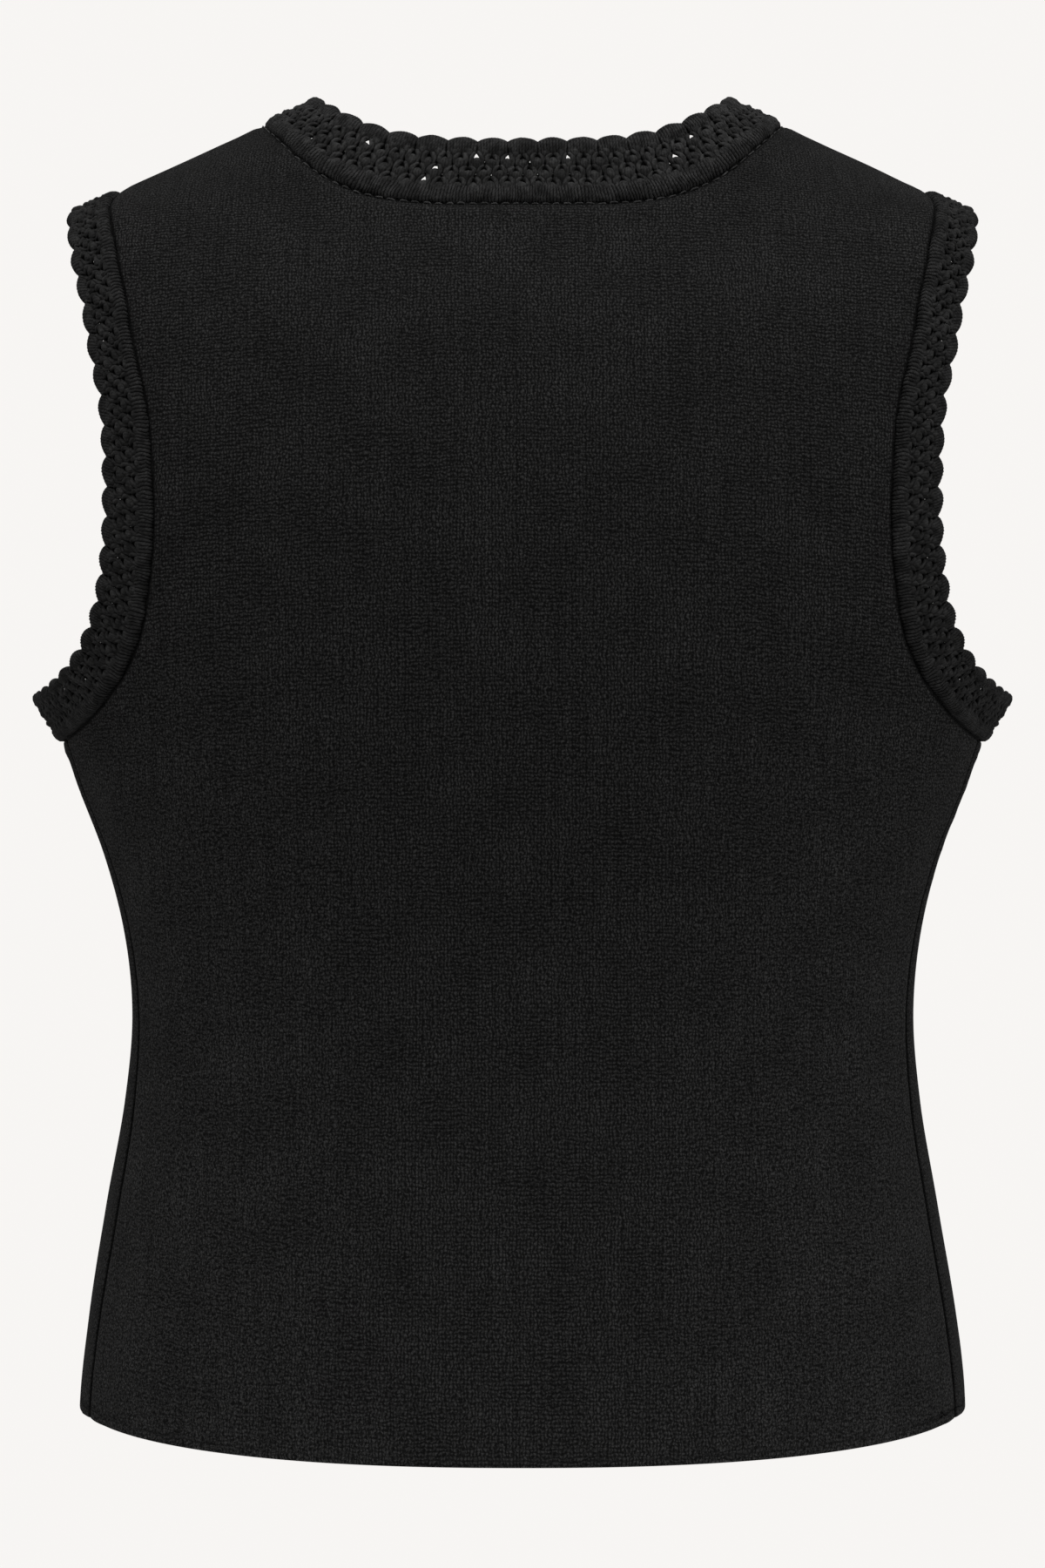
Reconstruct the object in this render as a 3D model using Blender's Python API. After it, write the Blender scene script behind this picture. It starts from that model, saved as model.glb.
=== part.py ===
"""A sleeveless black knitted vest, as it hangs filled out with nobody in it.

Two knitted panels meet at side and shoulder seams. A crocheted trim with a rolled band, an
openwork strip and a scalloped free edge runs round the neck and round each armhole.
The origin lies midway between the two high shoulder points. The back faces -Y, +Z is up.
Metres throughout.
"""

import math
from collections import namedtuple

import bmesh
import bpy
import numpy as np
from mathutils import Vector

# ---- cloth ---------------------------------------------------------------------------------
WALL = 0.0018  # a fine-gauge double knit
SEAM_GAP = 0.0004  # parts the neighbouring pieces at every seam

# ---- the filled-out form: level sections from the neck down to the hem ------------------------
Section = namedtuple("Section", "height half_width back_depth front_depth squareness")
FORM = [
    Section(0.016, 0.0600, 0.0395, 0.0395, 2.0),
    Section(0.000, 0.0935, 0.0430, 0.0440, 2.0),
    Section(-0.029, 0.1565, 0.0500, 0.0520, 2.0),
    Section(-0.035, 0.1708, 0.0525, 0.0550, 2.0),
    Section(-0.042, 0.1820, 0.0570, 0.0590, 2.0),
    Section(-0.055, 0.1936, 0.0660, 0.0680, 2.0),
    Section(-0.080, 0.2005, 0.0800, 0.0820, 2.0),
    Section(-0.120, 0.2020, 0.0920, 0.0980, 2.0),
    Section(-0.160, 0.2010, 0.0980, 0.1100, 2.0),
    Section(-0.190, 0.1965, 0.0990, 0.1170, 2.05),
    Section(-0.217, 0.1846, 0.0985, 0.1185, 2.1),
    Section(-0.235, 0.1738, 0.0970, 0.1170, 2.15),
    Section(-0.251, 0.1680, 0.0950, 0.1140, 2.2),
    Section(-0.277, 0.1580, 0.0915, 0.1070, 2.2),
    Section(-0.304, 0.1510, 0.0885, 0.0990, 2.2),
    Section(-0.336, 0.1477, 0.0875, 0.0935, 2.2),
    Section(-0.370, 0.1502, 0.0910, 0.0930, 2.2),
    Section(-0.409, 0.1568, 0.0980, 0.0960, 2.25),
    Section(-0.449, 0.1634, 0.1040, 0.1000, 2.3),
    Section(-0.475, 0.1664, 0.1070, 0.1030, 2.3),
    Section(-0.500, 0.1674, 0.1080, 0.1050, 2.3),
]

# ---- hem and seams ---------------------------------------------------------------------------
HEM_HEIGHT = -0.485  # at the side seams and along the front
BACK_HEM_DROP = 0.0065  # the back hem dips this much at its middle
SHOULDER_SEAM_SETBACK = 0.008  # the shoulder seam meets the neck this far behind the ridge
SideSeam = namedtuple("SideSeam", "height setback")  # the seam lies this far behind the middle
SIDE_SEAM = [
    SideSeam(-0.500, 0.0385),
    SideSeam(-0.430, 0.0360),
    SideSeam(-0.340, 0.0260),
    SideSeam(-0.280, 0.0235),
    SideSeam(-0.200, 0.0220),
]

# ---- armhole, seen from the side: rounded ovals on the form ------------------------------------
Oval = namedtuple("Oval", "middle rise drop back front round_above round_below")
ARMHOLE_SEAM = Oval(-0.169, 0.1420, 0.0660, 0.0735, 0.0800, 1.9, 2.75)
ARMHOLE_EDGE = Oval(-0.160, 0.1255, 0.0570, 0.0635, 0.0710, 1.9, 3.0)
ARMHOLE_SCALLOPS = 49

# ---- neck, seen from above: rounded ovals on the form ------------------------------------------
Ring = namedtuple("Ring", "half_width back front round_back round_front")
NECK_SEAM = Ring(0.0975, 0.0542, 0.0940, 2.65, 2.3)
NECK_EDGE = Ring(0.0766, 0.0455, 0.0830, 2.85, 2.3)
NECK_SCALLOPS = 48

# ---- trim: the same crochet at the neck and the armholes ---------------------------------------
BAND_WIDTH = 0.0060  # rolled band next to the seam
BAND_RISE = 0.0008  # how far the roll stands off the cloth
SCALLOP_DEPTH = 0.0018
STEPS_PER_SCALLOP = 4

# ---- colour: near-black yarn, matte ------------------------------------------------------------
Yarn = namedtuple("Yarn", "colour roughness")
KNIT = Yarn((0.012, 0.012, 0.012), 0.90)
CROCHET = Yarn((0.010, 0.010, 0.010), 0.85)

# ---- how finely each piece is divided ----------------------------------------------------------
PANEL_COLUMNS = 24
NECK_COLUMNS = 8  # of each half
SIDE_ROWS = 9
ARMHOLE_ROWS = 16
PANEL_ROWS = SIDE_ROWS + ARMHOLE_ROWS
FINE = 240  # points along a curve before it is divided by its length
HALVINGS = 40  # when a root is closed in on
SETTLING_STEPS = 10  # when a point is moved onto the form
PROBE = 0.0005  # step over which the form's slope is taken
WELD = 0.00001  # corners closer than this are one
SHARP = math.radians(50)  # the edges of a wall stay sharp in shading


def table_curve(rows, column):
    """A smooth curve through one column of a table whose first column is the height."""
    rows = sorted(rows, key=lambda row: row.height)
    heights = np.array([row.height for row in rows])
    values = np.array([getattr(row, column) for row in rows])
    slopes = np.gradient(values, heights)

    def curve(height):
        i = int(np.clip(np.searchsorted(heights, height) - 1, 0, len(heights) - 2))
        span = heights[i + 1] - heights[i]
        t = (height - heights[i]) / span
        return float(
            values[i] * (1 + 2 * t) * (1 - t) ** 2
            + slopes[i] * span * t * (1 - t) ** 2
            + values[i + 1] * t * t * (3 - 2 * t)
            + slopes[i + 1] * span * t * t * (t - 1)
        )

    return curve


half_width_at = table_curve(FORM, "half_width")
back_depth_at = table_curve(FORM, "back_depth")
front_depth_at = table_curve(FORM, "front_depth")
squareness_at = table_curve(FORM, "squareness")
setback_at = table_curve(SIDE_SEAM, "setback")


def depth_at(height, towards_front):
    return front_depth_at(height) if towards_front else back_depth_at(height)


def on_form(angle, height):
    """The form's surface point: angle 0 is the middle of the back, 90 degrees the +X side."""
    power = 2.0 / squareness_at(height)
    sine, cosine = math.sin(angle), math.cos(angle)
    x = half_width_at(height) * math.copysign(abs(sine) ** power, sine)
    y = depth_at(height, cosine < 0) * abs(cosine) ** power
    return Vector((x, math.copysign(y, -cosine), height))


def angle_at_depth(y, height):
    """The angle on the +X half where the form's surface has this y."""
    share = min(1.0, abs(y) / depth_at(height, y > 0))
    angle = math.acos(share ** (squareness_at(height) / 2.0))
    return math.pi - angle if y > 0 else angle


def height_over_plan(x, y):
    """How high the top of the form is above the point (x, y), by halving the interval."""
    low, high = ARMHOLE_EDGE.middle, FORM[0].height
    for _ in range(HALVINGS):
        middle = (low + high) / 2
        power = squareness_at(middle)
        reach = (abs(x) / half_width_at(middle)) ** power
        reach += (abs(y) / depth_at(middle, y > 0)) ** power
        if reach > 1.0:
            high = middle
        else:
            low = middle
    return low


def level(point):
    """1 on the form's surface, less inside it and more outside."""
    power = squareness_at(point.z)
    side = (abs(point.x) / half_width_at(point.z)) ** power
    return side + (abs(point.y) / depth_at(point.z, point.y > 0)) ** power


def slope(point):
    """How fast the level grows along each axis."""
    axes = (Vector((PROBE, 0, 0)), Vector((0, PROBE, 0)), Vector((0, 0, PROBE)))
    return Vector([(level(point + axis) - level(point - axis)) / (2 * PROBE) for axis in axes])


def outward(point):
    return slope(point).normalized()


def settled(point):
    """Moves a point near the form onto it, along the form's own slope."""
    for _ in range(SETTLING_STEPS):
        rise = slope(point)
        point = point + rise * ((1.0 - level(point)) / rise.length_squared)
    return point


def rounded(value, roundness):
    """A sine or cosine reshaped so that the oval it draws is squarer or slimmer."""
    return math.copysign(abs(value) ** (2.0 / roundness), value)


def oval_point(oval, turn):
    """(y, z) on an armhole oval: turn 0 is its top, a quarter turn its back, a half its foot."""
    up, back = math.cos(turn), math.sin(turn)
    roundness = oval.round_above if up > 0 else oval.round_below
    z = oval.middle + (oval.rise if up > 0 else oval.drop) * rounded(up, roundness)
    y = -(oval.back if back > 0 else oval.front) * rounded(back, roundness)
    return y, z


def ring_point(ring, turn):
    """(x, y) on a neck ring: turn 0 is the middle of the back, a quarter turn the +X side."""
    side, back = math.sin(turn), math.cos(turn)
    roundness = ring.round_back if back > 0 else ring.round_front
    x = ring.half_width * rounded(side, roundness)
    y = -(ring.back if back > 0 else ring.front) * rounded(back, roundness)
    return x, y


def run_of(points):
    """The length of a run of points up to each of them."""
    spans = [(b - a).length for a, b in zip(points, points[1:])]
    return np.concatenate(([0.0], np.cumsum(spans)))


def measured(points):
    """A function that gives the point at a fraction of a run's length."""
    run = run_of(points)
    columns = np.array(points).T

    def at(fraction):
        return Vector([float(np.interp(fraction * run[-1], run, column)) for column in columns])

    return at


def steps(start, end, count=FINE):
    return [start + (end - start) * i / count for i in range(count + 1)]


def armhole_between(turn, share):
    """A point of the armhole trim, from its seam (share 0) to its free edge (share 1)."""
    (y0, z0), (y1, z1) = oval_point(ARMHOLE_SEAM, turn), oval_point(ARMHOLE_EDGE, turn)
    y, z = y0 + (y1 - y0) * share, z0 + (z1 - z0) * share
    return on_form(angle_at_depth(y, z), z)


def neck_between(turn, share):
    """A point of the neck trim, from its seam (share 0) to its free edge (share 1)."""
    (x0, y0), (x1, y1) = ring_point(NECK_SEAM, turn), ring_point(NECK_EDGE, turn)
    x, y = x0 + (x1 - x0) * share, y0 + (y1 - y0) * share
    return Vector((x, y, height_over_plan(x, y)))


def turn_where(start, end, passed):
    """The turn between start and end where a test turns true, by halving the interval."""
    for _ in range(HALVINGS):
        middle = (start + end) / 2
        if passed(middle):
            end = middle
        else:
            start = middle
    return end


# the two corners that the panels share, as turns on the armhole oval and the neck ring
UNDERARM_TURN = turn_where(math.pi, math.pi / 2, lambda turn: -oval_point(ARMHOLE_SEAM, turn)[0]
                           > setback_at(oval_point(ARMHOLE_SEAM, turn)[1]))
NECK_CORNER_TURN = turn_where(0.0, math.pi / 2, lambda turn: -ring_point(NECK_SEAM, turn)[1]
                              < SHOULDER_SEAM_SETBACK)


def panel_edges(front):
    """The panel's hem, side seam, armhole, shoulder and neck runs, on the +X half."""
    armhole = [armhole_between(turn, 0.0)
               for turn in steps(UNDERARM_TURN, 2 * math.pi if front else 0.0)]
    side = [on_form(angle_at_depth(-setback_at(height), height), height)
            for height in steps(HEM_HEIGHT, armhole[0].z)]
    neck = [neck_between(turn, 0.0)
            for turn in steps(math.pi if front else 0.0, NECK_CORNER_TURN)]
    shoulder = [settled(neck[-1].lerp(armhole[-1], t)) for t in steps(0.0, 1.0)]
    seam_angle = angle_at_depth(side[0].y, side[0].z)
    middle = math.pi if front else 0.0
    hem = []
    for t in steps(0.0, 1.0):
        drop = 0.0 if front else BACK_HEM_DROP * math.cos(t * math.pi / 2)
        hem.append(on_form(middle + (seam_angle - middle) * t, HEM_HEIGHT - drop))
    return [measured(run) for run in (hem, side, armhole, shoulder, neck)]


def panel_place(front):
    """A function that puts a grid corner, by its fractions across and up, on the form."""
    hem, side, armhole, shoulder, neck = panel_edges(front)
    seam_share = SIDE_ROWS / PANEL_ROWS
    neck_share = 2 * NECK_COLUMNS / PANEL_COLUMNS
    across_inset = 1 - 0.5 * SEAM_GAP / half_width_at(HEM_HEIGHT)
    up_inset = 1 - SEAM_GAP / abs(HEM_HEIGHT)

    def side_run(up):
        if up <= seam_share:
            return side(up / seam_share)
        return armhole((up - seam_share) / (1 - seam_share))

    def top_run(reach):
        if reach <= neck_share:
            return neck(reach / neck_share)
        return shoulder((reach - neck_share) / (1 - neck_share))

    def place(across, up):
        reach = abs(2 * across - 1) * across_inset
        up *= up_inset
        slack = side_run(up) - hem(1.0) * (1 - up) - top_run(1.0) * up
        point = hem(reach) * (1 - up) + top_run(reach) * up
        point += Vector((slack.x * reach, slack.y * reach ** 2, slack.z * reach ** 2))
        point = settled(point)
        return Vector((-point.x, point.y, point.z)) if across < 0.5 else point

    return place


def cloth_mesh(name, columns, rows, place, closed):
    """A grid sheet put where place(across, up) says, with a wall drawn inward square to the form."""
    bm = bmesh.new()
    bmesh.ops.create_grid(bm, x_segments=columns, y_segments=rows, size=1.0)
    for vert in bm.verts:
        vert.co = place((vert.co.x + 1) / 2, (vert.co.y + 1) / 2)
    if closed:
        bmesh.ops.remove_doubles(bm, verts=bm.verts, dist=WELD)
    inner = bmesh.ops.extrude_face_region(bm, geom=bm.faces[:], use_keep_orig=True)["geom"]
    for vert in inner:
        if isinstance(vert, bmesh.types.BMVert):
            vert.co -= outward(vert.co) * WALL
    bmesh.ops.recalc_face_normals(bm, faces=bm.faces)
    mesh = bpy.data.meshes.new(name)
    bm.to_mesh(mesh)
    bm.free()
    mesh.shade_smooth()
    mesh.set_sharp_from_angle(angle=SHARP)
    return mesh


def seam_polyline(place_back, place_front, on_armhole):
    """The seam as the panels' own corners draw it, so that the trim follows their facets."""
    if on_armhole:
        ups = [(SIDE_ROWS + i) / PANEL_ROWS for i in range(ARMHOLE_ROWS + 1)]
        back = [place_back(1.0, up) for up in reversed(ups)]
        front = [place_front(1.0, up) for up in ups]
    else:
        acrosses = [0.5 + i / PANEL_COLUMNS for i in range(NECK_COLUMNS + 1)]
        back = [place_back(across, 1.0) for across in acrosses]
        front = [place_front(across, 1.0) for across in reversed(acrosses)]
    return back + front


def turns_by_length(curve_point, start, end):
    """A function that gives the turn at a fraction of a curve's length."""
    turns = steps(start, end, 2 * FINE)
    run = run_of([curve_point(turn) for turn in turns])
    return lambda fraction: float(np.interp(fraction * run[-1], run, turns))


def trim_mesh(name, between, seam, seam_turns, scallops, sign=1):
    """A crocheted ring: a rolled band by the seam, a flat strip and a scalloped free edge."""
    count = scallops * STEPS_PER_SCALLOP
    by_length = turns_by_length(lambda turn: between(turn, 1.0), 0.0, 2 * math.pi)
    width = (between(0.0, 1.0) - between(0.0, 0.0)).length
    shares = [0.0, 0.5 * BAND_WIDTH / width, BAND_WIDTH / width, 1.0]
    rises = [0.0, BAND_RISE, 0.0, 0.0]
    corners = np.array(seam).T

    def place(around, across):
        i = round(around * count) % count
        row = round(across * (len(shares) - 1))
        turn = by_length(i / count)
        if row == 0:
            point = Vector([np.interp(turn, seam_turns, corner) for corner in corners])
            point += (between(turn, 1.0) - between(turn, 0.0)).normalized() * SEAM_GAP
        else:
            lobe = abs(math.cos(math.pi * i / STEPS_PER_SCALLOP)) - 0.5 if row == 3 else 0.0
            point = between(turn, shares[row] + lobe * SCALLOP_DEPTH / width)
            point += outward(point) * rises[row]
        return Vector((point.x * sign, point.y, point.z))

    return cloth_mesh(name, count, len(shares) - 1, place, closed=True)


def shared_turns(between, start, corner, end, count):
    """The turns of the panels' corners along a seam, whose two stretches meet at a corner."""
    turns = []
    for low, high in ((start, corner), (corner, end)):
        by_length = turns_by_length(lambda turn: between(turn, 0.0), low, high)
        turns += [by_length(i / count) for i in range(count + 1)]
    return turns


def armhole_trim(name, sign, places):
    """The ring round one armhole; sign is its side of the garment along X."""
    turns = shared_turns(armhole_between, 0.0, UNDERARM_TURN, 2 * math.pi, ARMHOLE_ROWS)
    seam = seam_polyline(*places, on_armhole=True)
    return trim_mesh(name, armhole_between, seam, turns, ARMHOLE_SCALLOPS, sign)


def neck_trim(name, places):
    """The ring round the neck."""
    turns = shared_turns(neck_between, 0.0, NECK_CORNER_TURN, math.pi, NECK_COLUMNS)
    seam = seam_polyline(*places, on_armhole=False)
    turns += [2 * math.pi - turn for turn in reversed(turns)]
    seam += [Vector((-point.x, point.y, point.z)) for point in reversed(seam)]
    return trim_mesh(name, neck_between, seam, turns, NECK_SCALLOPS)


def knit_material(name, yarn):
    material = bpy.data.materials.new(name)
    material.use_nodes = True
    shader = material.node_tree.nodes["Principled BSDF"]
    shader.inputs["Base Color"].default_value = (*yarn.colour, 1.0)
    shader.inputs["Roughness"].default_value = yarn.roughness
    shader.inputs["Metallic"].default_value = 0.0
    material.diffuse_color = (*yarn.colour, 1.0)
    return material


def add_piece(collection, name, mesh, material):
    obj = bpy.data.objects.new(name, mesh)
    collection.objects.link(obj)
    obj.data.materials.append(material)


for old in list(bpy.data.objects):
    bpy.data.objects.remove(old, do_unlink=True)

vest = bpy.data.collections.new("knitted_vest")
bpy.context.scene.collection.children.link(vest)

places = (panel_place(front=False), panel_place(front=True))
for panel_name, panel in zip(("back_panel", "front_panel"), places):
    sheet = cloth_mesh(panel_name, PANEL_COLUMNS, PANEL_ROWS, panel, closed=False)
    add_piece(vest, panel_name, sheet, knit_material(panel_name + "_knit", KNIT))
add_piece(vest, "neck_trim", neck_trim("neck_trim", places), knit_material("neck_crochet", CROCHET))
for trim_name, sign in (("armhole_trim_left", -1), ("armhole_trim_right", 1)):
    add_piece(vest, trim_name, armhole_trim(trim_name, sign, places),
              knit_material(trim_name + "_crochet", CROCHET))
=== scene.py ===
"""A sleeveless black knitted vest with a crocheted trim, filled out as it is worn."""

import math

import bpy
import numpy as np
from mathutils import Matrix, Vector


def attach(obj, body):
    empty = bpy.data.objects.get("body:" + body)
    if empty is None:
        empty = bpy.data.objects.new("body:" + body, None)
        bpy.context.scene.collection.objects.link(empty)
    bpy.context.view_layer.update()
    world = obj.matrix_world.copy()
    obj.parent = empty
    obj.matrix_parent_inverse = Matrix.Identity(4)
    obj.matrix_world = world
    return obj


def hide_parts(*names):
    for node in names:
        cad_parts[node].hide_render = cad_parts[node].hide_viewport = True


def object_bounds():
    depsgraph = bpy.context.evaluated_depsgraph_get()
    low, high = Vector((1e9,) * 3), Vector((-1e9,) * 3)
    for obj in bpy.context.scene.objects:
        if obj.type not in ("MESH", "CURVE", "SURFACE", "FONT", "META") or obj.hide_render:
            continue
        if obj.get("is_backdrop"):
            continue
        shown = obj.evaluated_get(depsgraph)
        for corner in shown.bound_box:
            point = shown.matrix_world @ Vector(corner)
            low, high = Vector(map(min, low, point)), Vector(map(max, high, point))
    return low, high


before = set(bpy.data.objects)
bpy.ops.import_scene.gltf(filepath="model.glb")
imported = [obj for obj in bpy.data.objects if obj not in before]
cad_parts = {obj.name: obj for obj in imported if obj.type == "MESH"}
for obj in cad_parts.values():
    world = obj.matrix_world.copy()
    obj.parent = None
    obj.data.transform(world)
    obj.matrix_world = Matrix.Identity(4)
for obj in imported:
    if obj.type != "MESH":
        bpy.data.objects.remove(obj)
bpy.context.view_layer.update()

# ---- the knitted back ---------------------------------------------------------------------------
# One panel of fine black jersey, about eight columns of stitches to the centimetre, cut to shape and
# filled out by the body: rounded at the sides, drawn in at the waist, with a clean hem that dips a
# little behind.

KNIT_WALL = 0.0018
COLUMN_WIDTH, COURSE_HEIGHT = 0.00124, 0.00148
SEAM_GAP = 0.0004
HEM_HEIGHT, BACK_HEM_DROP = -0.485, 0.0065
# height, half width, depth behind and before the middle, and squareness of each level section
VEST_SECTIONS = np.array([
    (-0.500, 0.1674, 0.1080, 0.1050, 2.30),
    (-0.475, 0.1664, 0.1070, 0.1030, 2.30),
    (-0.449, 0.1634, 0.1040, 0.1000, 2.30),
    (-0.409, 0.1568, 0.0980, 0.0960, 2.25),
    (-0.370, 0.1502, 0.0910, 0.0930, 2.20),
    (-0.336, 0.1477, 0.0875, 0.0935, 2.20),
    (-0.304, 0.1510, 0.0885, 0.0990, 2.20),
    (-0.277, 0.1580, 0.0915, 0.1070, 2.20),
    (-0.251, 0.1680, 0.0950, 0.1140, 2.20),
    (-0.235, 0.1738, 0.0970, 0.1170, 2.15),
    (-0.217, 0.1846, 0.0985, 0.1185, 2.10),
    (-0.190, 0.1965, 0.0990, 0.1170, 2.05),
    (-0.160, 0.2010, 0.0980, 0.1100, 2.00),
    (-0.120, 0.2020, 0.0920, 0.0980, 2.00),
    (-0.080, 0.2005, 0.0800, 0.0820, 2.00),
    (-0.055, 0.1936, 0.0660, 0.0680, 2.00),
    (-0.042, 0.1820, 0.0570, 0.0590, 2.00),
    (-0.035, 0.1708, 0.0525, 0.0550, 2.00),
    (-0.029, 0.1565, 0.0500, 0.0520, 2.00),
    (0.000, 0.0935, 0.0430, 0.0440, 2.00),
    (0.016, 0.0600, 0.0395, 0.0395, 2.00),
])
BODY_FOOT, BODY_TOP = VEST_SECTIONS[0, 0], VEST_SECTIONS[-1, 0]
LOWEST_NECKLINE = -0.160
# height, and how far the side seam lies behind the middle there
SIDE_SEAM = np.array([
    (-0.500, 0.0385), (-0.430, 0.0360), (-0.340, 0.0260), (-0.280, 0.0235), (-0.200, 0.0220)])
# middle, rise, drop, back, front, roundness above and below: the armhole's seam and its free edge
ARMHOLE_SEAM = (-0.169, 0.1420, 0.0660, 0.0735, 0.0800, 1.9, 2.75)
ARMHOLE_EDGE = (-0.160, 0.1255, 0.0570, 0.0635, 0.0710, 1.9, 3.0)
# half width, back, front, roundness behind and before: the neck's seam and its free edge
NECK_SEAM = (0.0975, 0.0542, 0.0940, 2.65, 2.3)
NECK_EDGE = (0.0766, 0.0455, 0.0830, 2.85, 2.3)
SHOULDER_SEAM_SETBACK = 0.008
# how far the cloth is drawn in along its seams, how far it rises beside them, and its slight waves
SIDE_SEAM_SINK, TOP_SEAM_SINK, SEAM_PUFF, CLOTH_WAVES = 0.0006, 0.0013, 0.0004, 0.0004
# the share of a panel's rows below the armhole, and of its columns that end at the neck
PANEL_ROWS_TO_ARMHOLE = 9 / 25
PANEL_NECK_SHARE = 2 / 3


def through(heights, values):
    """A smooth curve through a table's values."""
    slopes = np.gradient(values, heights)

    def curve(height):
        i = np.clip(np.searchsorted(heights, height) - 1, 0, len(heights) - 2)
        span = heights[i + 1] - heights[i]
        t = (height - heights[i]) / span
        return (values[i] * (1 + 2 * t) * (1 - t) ** 2 + slopes[i] * span * t * (1 - t) ** 2
                + values[i + 1] * t * t * (3 - 2 * t) + slopes[i + 1] * span * t * t * (t - 1))

    return curve


half_width_at, back_depth_at, front_depth_at, squareness_at = [
    through(VEST_SECTIONS[:, 0], VEST_SECTIONS[:, i]) for i in (1, 2, 3, 4)]
seam_setback_at = through(SIDE_SEAM[:, 0], SIDE_SEAM[:, 1])


def depth_at(height, front):
    return np.where(front, front_depth_at(height), back_depth_at(height))


def level(p):
    """1 on the body's surface, less inside it."""
    power = squareness_at(p[..., 2])
    return ((np.abs(p[..., 0]) / half_width_at(p[..., 2])) ** power
            + (np.abs(p[..., 1]) / depth_at(p[..., 2], p[..., 1] > 0)) ** power)


def rise_of(p):
    step = 0.0005
    return np.stack([(level(p + a) - level(p - a)) / (2 * step) for a in step * np.eye(3)], -1)


def outward(p):
    rise = rise_of(p)
    return rise / np.linalg.norm(rise, axis=-1, keepdims=True)


def settled(p):
    """Points near the body's surface, moved onto it."""
    for _ in range(10):
        rise = rise_of(p)
        p = p + rise * ((1 - level(p)) / (rise ** 2).sum(-1))[..., None]
    return p


def on_body(angle, height):
    """A point of the surface; angle 0 is the middle of the back, a quarter turn the +X side."""
    angle, height = np.broadcast_arrays(angle, height)
    power = 2 / squareness_at(height)
    sine, cosine = np.sin(angle), np.cos(angle)
    return np.stack([half_width_at(height) * np.sign(sine) * np.abs(sine) ** power,
                     -np.sign(cosine) * depth_at(height, cosine < 0) * np.abs(cosine) ** power, height], -1)


def angle_at(y, height):
    """The angle on the +X half where the surface has this y."""
    share = np.minimum(1, np.abs(y) / depth_at(height, y > 0))
    angle = np.arccos(share ** (squareness_at(height) / 2))
    return np.where(y > 0, math.pi - angle, angle)


def height_over(x, y):
    """How high the surface lies over a point of the plan, found by halving."""
    low, high = np.full(np.shape(x), LOWEST_NECKLINE), np.full(np.shape(x), BODY_TOP)
    for _ in range(40):
        middle = (low + high) / 2
        over = level(np.stack([x, y, middle], -1)) > 1
        low, high = np.where(over, low, middle), np.where(over, middle, high)
    return low


def rounded(value, roundness):
    """A sine or cosine for an oval that is squarer than a circle."""
    return np.sign(value) * np.abs(value) ** (2 / roundness)


def armhole(turn, share):
    """A point of the armhole's trim: turn 0 is its top, a quarter turn its back; share 0 is the seam."""
    ends = []
    for middle, up, down, back, front, above, below in (ARMHOLE_SEAM, ARMHOLE_EDGE):
        c, s = np.cos(turn), np.sin(turn)
        roundness = np.where(c > 0, above, below)
        ends.append((-np.where(s > 0, back, front) * rounded(s, roundness),
                     middle + np.where(c > 0, up, down) * rounded(c, roundness)))
    (y0, z0), (y1, z1) = ends
    y, z = y0 + (y1 - y0) * share, z0 + (z1 - z0) * share
    return on_body(angle_at(y, z), z)


def neckline(turn, share):
    """A point of the neck's trim: turn 0 is the middle of the back; share 0 is the seam."""
    ends = []
    for half_width, back, front, behind, before in (NECK_SEAM, NECK_EDGE):
        c, s = np.cos(turn), np.sin(turn)
        roundness = np.where(c > 0, behind, before)
        ends.append((half_width * rounded(s, roundness),
                     -np.where(c > 0, back, front) * rounded(c, roundness)))
    (x0, y0), (x1, y1) = ends
    # behind, the free edge runs level across the middle before it rises to the shoulders
    level_out = (0.00039 * np.exp(-((np.abs(x1) - 0.035) / 0.018) ** 2)
                 - 0.00019 * np.exp(-(x1 / 0.012) ** 2))
    y1 = y1 + np.where(y1 < 0, level_out, 0)
    x, y = x0 + (x1 - x0) * share, y0 + (y1 - y0) * share
    return np.stack([x, y, height_over(x, y)], -1)


def run_of(points, axis=0):
    """How far along its line each point is, for one line or for a grid's columns or rows."""
    steps = np.diff(points, axis=axis, prepend=np.take(points, [0], axis=axis))
    return np.cumsum(np.linalg.norm(steps, axis=-1), axis=axis)


def measured(points):
    """The points of a run at given fractions of its length."""
    run = run_of(points)
    return lambda f: np.stack([np.interp(f * run[-1], run, column) for column in points.T], -1)


# where the side seam meets the armhole, and the shoulder seam the neck
back_turns = np.linspace(math.pi, math.pi / 2, 4000)
foot = armhole(back_turns, 0.0)
UNDERARM_TURN = back_turns[np.argmax(-foot[:, 1] > seam_setback_at(foot[:, 2]))]
side_turns = np.linspace(0, math.pi / 2, 4000)
NECK_CORNER_TURN = side_turns[np.argmax(-neckline(side_turns, 0.0)[:, 1] < SHOULDER_SEAM_SETBACK)]


def panel_runs(front):
    """The panel's hem, side seam, armhole, shoulder and neck, each measured along its length."""
    share = np.linspace(0, 1, 600)
    hole = armhole(UNDERARM_TURN + (2 * math.pi * front - UNDERARM_TURN) * share, 0.0)
    height = HEM_HEIGHT + (hole[0, 2] - HEM_HEIGHT) * share
    side = on_body(angle_at(-seam_setback_at(height), height), height)
    start = math.pi if front else 0.0
    neck = neckline(start + (NECK_CORNER_TURN - start) * share, 0.0)
    shoulder = settled(neck[-1] + (hole[-1] - neck[-1]) * share[:, None])
    seam_angle = angle_at(side[0, 1], side[0, 2])
    drop = 0.0 if front else BACK_HEM_DROP * np.cos(share * math.pi / 2)
    hem = on_body(start + (seam_angle - start) * share, HEM_HEIGHT - drop)
    return [measured(run) for run in (hem, side, hole, shoulder, neck)]


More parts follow.
